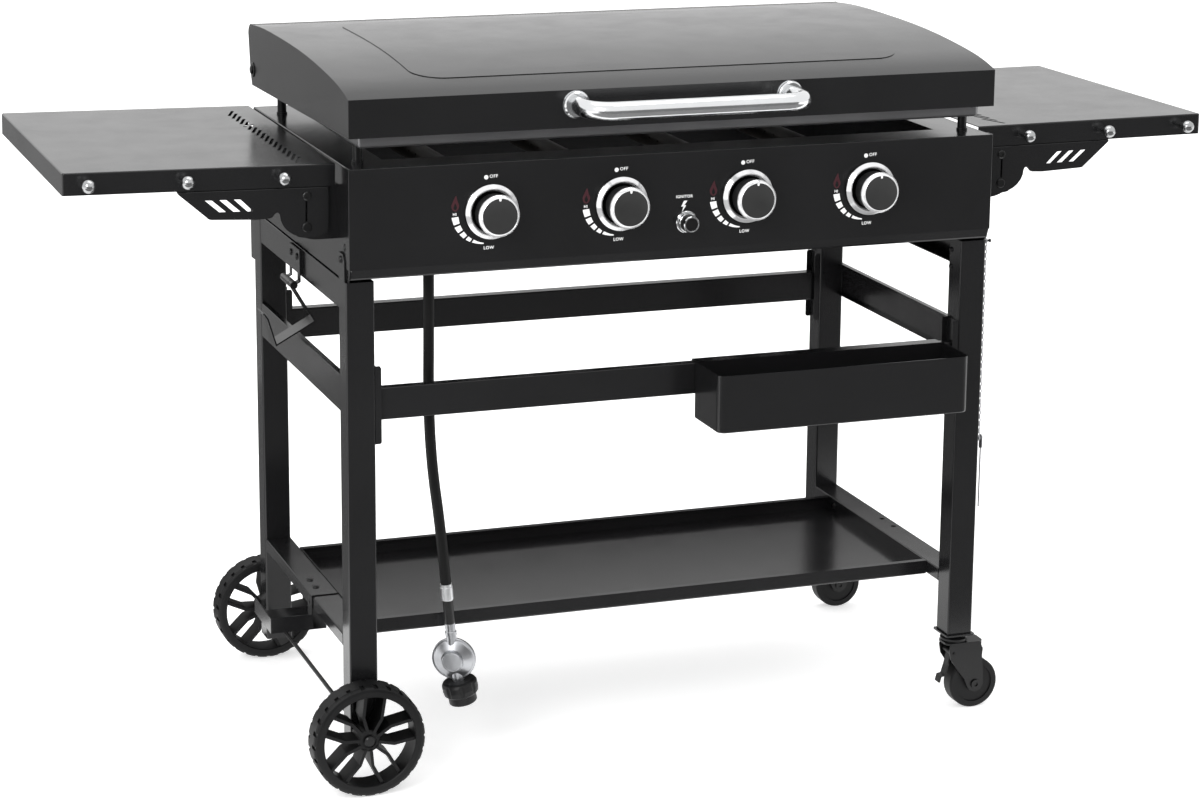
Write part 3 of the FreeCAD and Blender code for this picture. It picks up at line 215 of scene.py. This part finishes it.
def ferrule_mat():
    # crimped alloy ring above, black bend sleeve below; the change is at a fixed height
    m, t, b = nt("ferrule_and_sleeve")
    co = obj_coords(t)
    sep = t.nodes.new("ShaderNodeSeparateXYZ")
    t.links.new(co, sep.inputs["Vector"])
    step = t.nodes.new("ShaderNodeMapRange")
    step.inputs["From Min"].default_value = 0.2305
    step.inputs["From Max"].default_value = 0.2312
    t.links.new(sep.outputs["Z"], step.inputs["Value"])
    f = noise(t, co, 90.0, 4.0, 0.6)
    metal_col = ramp(t, f, [(0.3, (0.78, 0.79, 0.80)), (0.7, (0.90, 0.91, 0.92))])
    rub_col = ramp(t, f, [(0.3, (0.006, 0.006, 0.006)), (0.7, (0.010, 0.010, 0.010))])
    mix = t.nodes.new("ShaderNodeMix")
    mix.data_type = "RGBA"
    t.links.new(step.outputs["Result"], mix.inputs[0])
    t.links.new(rub_col, mix.inputs[6])
    t.links.new(metal_col, mix.inputs[7])
    t.links.new(mix.outputs[2], b.inputs["Base Color"])
    t.links.new(step.outputs["Result"], b.inputs["Metallic"])
    rough_map(t, b, f, 0.30, 0.44)
    bump(t, b, f, 0.04, 0.0003)
    return m


def hardware_mat():
    # black screws near the body, brighter ball hooks further out
    m, t, b = nt("shelf_hardware_finish")
    co = obj_coords(t)
    sep = t.nodes.new("ShaderNodeSeparateXYZ")
    t.links.new(co, sep.inputs["Vector"])
    ab = t.nodes.new("ShaderNodeMath")
    ab.operation = "ABSOLUTE"
    t.links.new(sep.outputs["X"], ab.inputs[0])
    step = t.nodes.new("ShaderNodeMapRange")
    step.inputs["From Min"].default_value = 0.509
    step.inputs["From Max"].default_value = 0.511
    t.links.new(ab.outputs[0], step.inputs["Value"])
    f = noise(t, co, 60.0, 4.0, 0.6)
    metal_col = ramp(t, f, [(0.3, (0.40, 0.405, 0.41)), (0.7, (0.47, 0.475, 0.48))])
    dark_col = ramp(t, f, [(0.3, (0.006, 0.006, 0.006)), (0.7, (0.009, 0.009, 0.009))])
    mix = t.nodes.new("ShaderNodeMix")
    mix.data_type = "RGBA"
    t.links.new(step.outputs["Result"], mix.inputs[0])
    t.links.new(dark_col, mix.inputs[6])
    t.links.new(metal_col, mix.inputs[7])
    t.links.new(mix.outputs[2], b.inputs["Base Color"])
    t.links.new(step.outputs["Result"], b.inputs["Metallic"])
    rough_map(t, b, f, 0.16, 0.26)
    return m


def bright_trim(name, base, metallic, rough_lo, rough_hi):
    # bright plating that also scatters some light
    m, t, b = nt(name)
    co = obj_coords(t)
    f = noise(t, co, 50.0, 4.0, 0.6)
    col = ramp(t, f, [(0.3, tuple(c * 0.95 for c in base)), (0.7, base)])
    t.links.new(col, b.inputs["Base Color"])
    b.inputs["Metallic"].default_value = metallic
    rough_map(t, b, f, rough_lo, rough_hi)
    bump(t, b, f, 0.01, 0.0003)
    return m


M = {}
M["black_powder_coat"] = powder("black_powder_coat", (0.0085, 0.0085, 0.0090), 0.17, 0.23)
M["lid_powder_coat"] = powder("lid_powder_coat", (0.0090, 0.0090, 0.0095), 0.18, 0.24)
M["griddle_steel"] = griddle_mat()
M["chrome"] = metal("polished_chrome", (0.80, 0.81, 0.82), 0.11, 0.19, 30.0, None, 0.01, 0.94)
M["zinc_steel"] = metal("zinc_plate", (0.62, 0.63, 0.65), 0.25, 0.42, 80.0, None, 0.05, 0.82)
M["black_steel"] = plastic("blackened_steel", (0.0045, 0.0045, 0.0048), 0.24, 0.34, 500.0, 0.04, 1.40)
# burner tubes get a near-black base colour: painted shade for the deep shadow inside the firebox under the lid
M["burner_steel"] = metal("burner_tube_painted_shade", (0.045, 0.041, 0.037), 0.42, 0.60, 60.0, (1.0, 0.1, 1.0), 0.05, 0.75)
M["brass"] = metal("machined_brass", (0.74, 0.55, 0.25), 0.18, 0.32, 90.0, (1.0, 0.2, 1.0), 0.04, 0.85)
M["aluminium"] = metal("die_cast_alloy", (0.56, 0.57, 0.59), 0.28, 0.42, 70.0, None, 0.06, 0.85)
M["hose_rubber"] = plastic("hose_rubber", (0.0045, 0.0045, 0.0045), 0.42, 0.54, 1200.0, 0.10, 1.32)
M["black_plastic"] = plastic("moulded_plastic", (0.0045, 0.0045, 0.0048), 0.34, 0.46, 900.0, 0.08, 1.38)
M["wheel_plastic"] = plastic("wheel_plastic", (0.0040, 0.0040, 0.0043), 0.44, 0.56, 700.0, 0.10, 1.34)
hose.data.materials.append(M["hose_rubber"])

for rec in frame["record"]["subparts"]:
    node = N.get(rec["node"])
    if node is None or node.type != "MESH":
        continue
    m = M[rec["material_slot"]]
    if not node.material_slots:
        node.data.materials.append(m)
    for s in node.material_slots:
        s.material = m
FERRULE = ferrule_mat()
for s in N["hose_ferrule"].material_slots:
    s.material = FERRULE
HARDWARE = hardware_mat()
for side in ("left", "right"):
    for s in N["shelf_hardware_" + side].material_slots:
        s.material = HARDWARE
CHAIN = bright_trim("bright_zinc_chain", (0.62, 0.62, 0.64), 0.45, 0.22, 0.34)
TRIM = bright_trim("bright_plated_trim", (0.90, 0.90, 0.91), 0.55, 0.12, 0.20)
FACE = plastic("knob_face_satin", (0.020, 0.020, 0.020), 0.44, 0.56, 800.0, 0.06, 1.47)


def bezel_mat():
    # bright cone above a dark foot; the change is at a fixed distance from the panel
    m = bright_trim("bezel_trim", (0.88, 0.88, 0.89), 0.65, 0.10, 0.18)
    t = m.node_tree
    b = t.nodes["Principled BSDF"]
    bright = b.inputs["Base Color"].links[0].from_socket
    sep = t.nodes.new("ShaderNodeSeparateXYZ")
    t.links.new(obj_coords(t), sep.inputs["Vector"])
    step = t.nodes.new("ShaderNodeMapRange")
    step.inputs["From Min"].default_value = -0.2573
    step.inputs["From Max"].default_value = -0.2576
    t.links.new(sep.outputs["Y"], step.inputs["Value"])
    mix = t.nodes.new("ShaderNodeMix")
    mix.data_type = "RGBA"
    mix.inputs[6].default_value = (0.006, 0.006, 0.006, 1)
    t.links.new(step.outputs["Result"], mix.inputs[0])
    t.links.new(bright, mix.inputs[7])
    t.links.new(mix.outputs[2], b.inputs["Base Color"])
    return m


BEZEL = bezel_mat()
for s in N["knob_bezels"].material_slots:
    s.material = BEZEL


def ink(name, colour, rough=0.45):
    m, t, b = nt(name)
    co = obj_coords(t)
    f = noise(t, co, 600.0, 3.0)
    col = ramp(t, f, [(0.3, tuple(c * 0.88 for c in colour)), (0.7, colour)])
    t.links.new(col, b.inputs["Base Color"])
    rough_map(t, b, f, rough - 0.05, rough + 0.08)
    return m


WHITE = ink("white_ink", (0.92, 0.92, 0.92))
RED = ink("red_ink", (0.055, 0.007, 0.013))


# ------------------------------------------------------------- mesh utilities
def add(name, bm, mat, body, smooth=None):
    me = bpy.data.meshes.new(name)
    bmesh.ops.recalc_face_normals(bm, faces=bm.faces)
    bm.to_mesh(me)
    bm.free()
    o = bpy.data.objects.new(name, me)
    scene.collection.objects.link(o)
    me.materials.append(mat)
    if smooth is not None:
        for p in me.polygons:
            p.use_smooth = True
        me.set_sharp_from_angle(angle=math.radians(smooth))
    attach(o, body)
    return o


def plate_on_panel(bm, outline, thick=0.00012, y=-263.0):
    # outline: (x, z) in mm, on the front of the control panel
    front = [bm.verts.new(P(x, y, z) - Vector((0, thick, 0))) for x, z in outline]
    back = [bm.verts.new(P(x, y, z) + Vector((0, 0.00002, 0))) for x, z in outline]
    bm.faces.new(front)
    bm.faces.new(back[::-1])
    n = len(outline)
    for i in range(n):
        j = (i + 1) % n
        bm.faces.new((front[j], front[i], back[i], back[j]))


def text(name, body_text, size, x, z, align="CENTER", bold=0.0):
    c = bpy.data.curves.new(name, "FONT")
    c.body = body_text
    c.size = size * MM
    c.align_x = align
    c.align_y = "CENTER"
    c.extrude = 0.00006
    c.offset = bold * MM
    c.space_character = 1.10
    c.resolution_u = 4
    o = bpy.data.objects.new(name, c)
    o.matrix_world = Matrix.Translation(P(x, -263.06, z)) @ Matrix.Rotation(math.radians(90), 4, "X")
    scene.collection.objects.link(o)
    c.materials.append(WHITE)
    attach(o, "frame")
    return o


KNOB_X = [-265.5, -85.7, 94.1, 273.9]
KNOB_Z = 775.8


def arc_block(bm, cx, cz, a0, a1, ri0, ro0, ri1, ro1, steps=6):
    pts = []
    for i in range(steps + 1):
        f = i / steps
        a = math.radians(a0 + (a1 - a0) * f)
        r = ro0 + (ro1 - ro0) * f
        pts.append((cx + r * math.cos(a), cz + r * math.sin(a)))
    for i in range(steps, -1, -1):
        f = i / steps
        a = math.radians(a0 + (a1 - a0) * f)
        r = ri0 + (ri1 - ri0) * f
        pts.append((cx + r * math.cos(a), cz + r * math.sin(a)))
    plate_on_panel(bm, pts)


for k, x in enumerate(KNOB_X):
    bm = bmesh.new()
    arc_block(bm, x, KNOB_Z, 185.4, 196.4, 45.8, 54.9, 45.6, 53.9)
    arc_block(bm, x, KNOB_Z, 199.8, 209.0, 45.6, 53.9, 45.4, 52.5)
    arc_block(bm, x, KNOB_Z, 212.4, 220.8, 45.2, 52.1, 44.8, 50.8)
    arc_block(bm, x, KNOB_Z, 224.2, 231.8, 44.4, 50.0, 44.0, 48.6)
    arc_block(bm, x, KNOB_Z, 235.2, 255.0, 43.4, 47.6, 42.2, 43.6)
    dot = [(x - 7.7 + 2.9 * math.cos(2 * math.pi * i / 28), KNOB_Z + 45.8 + 2.9 * math.sin(2 * math.pi * i / 28))
           for i in range(28)]
    plate_on_panel(bm, dot)
    add("dial_marks_%d" % (k + 1), bm, WHITE, "frame")
    text("dial_off_%d" % (k + 1), "OFF", 6.2, x - 3.2, KNOB_Z + 46.6, "LEFT", 0.06)
    text("dial_hi_%d" % (k + 1), "HI", 5.2, x - 50.6, KNOB_Z - 1.0, "CENTER", 0.10)
    text("dial_low_%d" % (k + 1), "LOW", 5.8, x - 4.4, KNOB_Z - 47.6, "CENTER", 0.09)
    # flame: a drop with an open middle
    bm = bmesh.new()
    outer, inner = [], []
    for i in range(40):
        a = 2 * math.pi * i / 40
        s = math.sin(a)
        w = math.cos(a)
        zz = s * 8.0
        width = 5.4 * (1.0 - 0.55 * max(0.0, s)) * w
        tip = max(0.0, s) ** 3 * 4.5
        outer.append((x - 49.8 + width + tip * 0.25 * (0 if s < 0 else 1), KNOB_Z + 11.0 + zz + tip))
        inner.append((x - 49.8 + width * 0.42, KNOB_Z + 8.6 + zz * 0.48 + tip * 0.3))
    fo = [bm.verts.new(P(a, -263.0, b) - Vector((0, 0.00012, 0))) for a, b in outer]
    fi = [bm.verts.new(P(a, -263.0, b) - Vector((0, 0.00012, 0))) for a, b in inner]
    bo = [bm.verts.new(P(a, -263.0, b) + Vector((0, 0.00002, 0))) for a, b in outer]
    bi = [bm.verts.new(P(a, -263.0, b) + Vector((0, 0.00002, 0))) for a, b in inner]
    for i in range(40):
        j = (i + 1) % 40
        bm.faces.new((fo[i], fo[j], fi[j], fi[i]))
        bm.faces.new((bo[j], bo[i], bi[i], bi[j]))
        bm.faces.new((fo[j], fo[i], bo[i], bo[j]))
        bm.faces.new((fi[i], fi[j], bi[j], bi[i]))
    add("dial_flame_%d" % (k + 1), bm, RED, "frame")

text("ignition_word", "IGNITOR", 5.5, 2.8, 780.3, "CENTER", 0.08)
bm = bmesh.new()
plate_on_panel(bm, [(7.2, 774.6), (2.4, 774.6), (-1.6, 767.0), (1.8, 767.0), (-0.6, 759.4),
                    (5.6, 768.4), (2.6, 768.4)])
add("ignition_bolt", bm, WHITE, "frame")


# ---------------------------------------------------------------- turned work
def turned(name, profile, origin, axis, mat, body, seg=96, smooth=35):
    # profile: (radius, height) in mm, closed if first and last radius aren't 0
    bm = bmesh.new()
    o = Vector(origin)
    d = Vector(axis).normalized()
    q = Vector((0, 0, 1)).rotation_difference(d).to_matrix()
    rings = []
    for r, h in profile:
        if r < 1e-9:
            rings.append([bm.verts.new(o + q @ Vector((0, 0, h * MM)))])
        else:
            rings.append([bm.verts.new(o + q @ Vector((r * MM * math.cos(2 * math.pi * i / seg),
                                                      r * MM * math.sin(2 * math.pi * i / seg), h * MM)))
                          for i in range(seg)])
    n = len(rings)
    closed = len(rings[0]) > 1 and len(rings[-1]) > 1
    for a in range(n if closed else n - 1):
        A, B = rings[a], rings[(a + 1) % n]
        for i in range(seg):
            j = (i + 1) % seg
            if len(A) == 1 and len(B) > 1:
                bm.faces.new((A[0], B[i], B[j]))
            elif len(B) == 1 and len(A) > 1:
                bm.faces.new((A[i], A[j], B[0]))
            elif len(A) > 1 and len(B) > 1:
                bm.faces.new((A[i], A[j], B[j], B[i]))
    return add(name, bm, mat, body, smooth)


for k, x in enumerate(KNOB_X):
    body = "knob_body_%d" % (k + 1)
    base = P(x, -269.5, KNOB_Z)
    ob = turned("knob_skirt_%d" % (k + 1),
                [(0, 0.0), (24.6, 0.0), (25.4, 0.8), (25.6, 3.0), (25.7, 20.0), (27.0, 22.6), (27.2, 23.6),
                 (23.6, 28.4), (23.2, 28.7), (0, 28.8)],
                base, (0, -1, 0), M["black_plastic"], body)
    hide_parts("knob_%d" % (k + 1))
    turned("knob_rim_%d" % (k + 1),
           [(26.4, 23.0), (27.4, 23.2), (27.8, 23.8), (27.8, 25.2), (27.6, 25.7), (24.7, 29.5),
            (24.2, 29.8), (23.7, 29.5), (23.5, 28.6)],
           base, (0, -1, 0), TRIM, body)
    turned("knob_face_%d" % (k + 1), [(0, 28.6), (23.4, 28.6), (23.4, 29.05), (23.1, 29.25), (0, 29.25)],
           base, (0, -1, 0), FACE, body)
    # pointer notch at the top of the rim
    bm = bmesh.new()
    pts = [(-1.7, 23.4), (1.7, 23.4), (1.1, 20.2), (-1.1, 20.2)]
    f = [bm.verts.new(P(x + a, -299.3, KNOB_Z + b)) for a, b in pts]
    g = [bm.verts.new(P(x + a, -298.4, KNOB_Z + b)) for a, b in pts]
    bm.faces.new(f)
    bm.faces.new(g[::-1])
    for i in range(4):
        j = (i + 1) % 4
        bm.faces.new((f[j], f[i], g[i], g[j]))
    bmesh.ops.bevel(bm, geom=bm.edges[:], offset=0.0002, segments=2, affect="EDGES")
    add("knob_pointer_%d" % (k + 1), bm, WHITE, body, 30)

# chrome rim round the ignition button
turned("ignition_button_rim",
       [(10.2, 17.0), (11.0, 17.4), (11.1, 20.6), (10.3, 21.8), (9.0, 21.9), (8.4, 21.2), (8.4, 20.4)],
       P(5.8, -263.0, 746.0), (0, -1, 0), M["chrome"], "ignition_button", 64)


# ------------------------------------------------------------- lighting chain
CH_X, CH_Y, CH_T, CH_B = 466.4, -237.0, 686.2, 404.0


def link(bm, centre, length, width, wire, twist, seg=20, ring=8):
    # one oval link, long along Z
    pts = []
    straight = (length - width) / 2
    r = width / 2 - wire
    for i in range(seg):
        a = 2 * math.pi * i / seg
        px = (width / 2 - wire) * math.cos(a)
        pz = (width / 2 - wire) * math.sin(a) + (straight if math.sin(a) >= 0 else -straight)
        pts.append(Vector((px, 0, pz)))
    q = Matrix.Rotation(twist, 3, "Z")
    n = len(pts)
    rings = []
    for i in range(n):
        t = (pts[(i + 1) % n] - pts[i - 1]).normalized()
        side = Vector((0, 1, 0))
        out = t.cross(side).normalized()
        rr = []
        for j in range(ring):
            b = 2 * math.pi * j / ring
            v = pts[i] + out * (wire * math.cos(b)) + side * (wire * math.sin(b))
            rr.append(bm.verts.new(centre + (q @ v) * MM))
        rings.append(rr)
    for i in range(n):
        A, B = rings[i], rings[(i + 1) % n]
        for j in range(ring):
            k2 = (j + 1) % ring
            bm.faces.new((A[j], B[j], B[k2], A[k2]))


# round end rings on the hook and on the rod's pin, oval links between them
bm = bmesh.new()
CX = CH_X - 0.9
for z in (CH_T, CH_B - 3.0):
    link(bm, P(CX, CH_Y, z), 7.7, 7.7, 0.75, math.radians(90))
for k in range(53):
    z = CH_T - 5.1 - (CH_T - 5.1 - CH_B - 2.1) * k / 52
    link(bm, P(CX, CH_Y, z), 7.2, 5.0, 0.80, math.radians(0 if k % 2 == 0 else 90))
chain = add("lighting_chain_links", bm, CHAIN, "chain", 60)
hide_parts("lighting_chain")


# ---------------------------------------------------------- stage and lighting
def plane(name, corners, mat):
    me = bpy.data.meshes.new(name)
    me.from_pydata([tuple(c) for c in corners], [], [tuple(range(len(corners)))])
    o = bpy.data.objects.new(name, me)
    scene.collection.objects.link(o)
    me.materials.append(mat)
    return o


fm, t, b = nt("floor_paint")
co = obj_coords(t)
f = noise(t, co, 1.5, 2.0)
col = ramp(t, f, [(0.3, (0.93, 0.93, 0.93)), (0.7, (0.95, 0.95, 0.95))])
t.links.new(col, b.inputs["Base Color"])
b.inputs["Roughness"].default_value = 0.9
b.inputs["Specular IOR Level"].default_value = 0.1
b.inputs["Emission Color"].default_value = (1, 1, 1, 1)
b.inputs["Emission Strength"].default_value = 0.50
plane("floor", [(-30, -30, -0.0004), (30, -30, -0.0004), (30, 30, -0.0004), (-30, 30, -0.0004)], fm)

world = bpy.data.worlds.new("studio")
scene.world = world
world.use_nodes = True
wt = world.node_tree
bg = wt.nodes["Background"]
bg.inputs["Color"].default_value = (1.0, 1.0, 1.0, 1.0)
bg.inputs["Strength"].default_value = 1.06

# studio cards: only mirror-like reflections see them


def studio_card(name, corners, level):
    cm, t, b = nt(name + "_paint")
    b.inputs["Base Color"].default_value = (0.0, 0.0, 0.0, 1)
    b.inputs["Roughness"].default_value = 1.0
    b.inputs["Specular IOR Level"].default_value = 0.0
    b.inputs["Emission Color"].default_value = (1, 1, 1, 1)
    b.inputs["Emission Strength"].default_value = level
    card = plane(name, corners, cm)
    card.visible_camera = False
    card.visible_diffuse = False
    card.visible_shadow = False
    card.visible_transmission = False
    return card


studio_card("front_card", [(-2.6, -2.3, 0.0), (2.6, -2.3, 0.0), (2.6, -2.3, 1.25), (-2.6, -2.3, 1.25)], 0.22)
studio_card("rear_floor_card", [(-2.6, 0.45, 0.001), (2.6, 0.45, 0.001), (2.6, 1.98, 0.001), (-2.6, 1.98, 0.001)], 0.22)
studio_card("rear_card_right", [(-0.3, 2.0, 0.0), (2.6, 2.0, 0.0), (2.6, 2.0, 0.90), (-0.3, 2.0, 0.90)], 0.04)
studio_card("rear_card_left", [(-2.6, 2.0, 0.0), (-0.3, 2.0, 0.0), (-0.3, 2.0, 0.80), (-2.6, 2.0, 0.80)], 0.36)
studio_card("front_floor_card", [(-2.6, -2.29, 0.001), (2.6, -2.29, 0.001), (2.6, -0.55, 0.001), (-2.6, -0.55, 0.001)], 0.30)


def area(name, loc, target, size, power, colour=(1, 1, 1)):
    l = bpy.data.lights.new(name, "AREA")
    l.shape = "RECTANGLE"
    l.size, l.size_y = size
    l.energy = power
    l.color = colour
    o = bpy.data.objects.new(name, l)
    scene.collection.objects.link(o)
    o.location = loc
    d = Vector(target) - Vector(loc)
    o.rotation_euler = d.to_track_quat("-Z", "Y").to_euler()
    return o


area("key_left", (-2.6, -2.4, 2.6), (0, 0, 0.7), (1.6, 1.6), 45)
area("top", (0.2, 0.3, 3.4), (0, 0, 0.9), (2.4, 1.6), 30)

scene.view_settings.view_transform = "Standard"
scene.view_settings.look = "None"
scene.view_settings.exposure = 0.0
scene.view_settings.gamma = 1.0
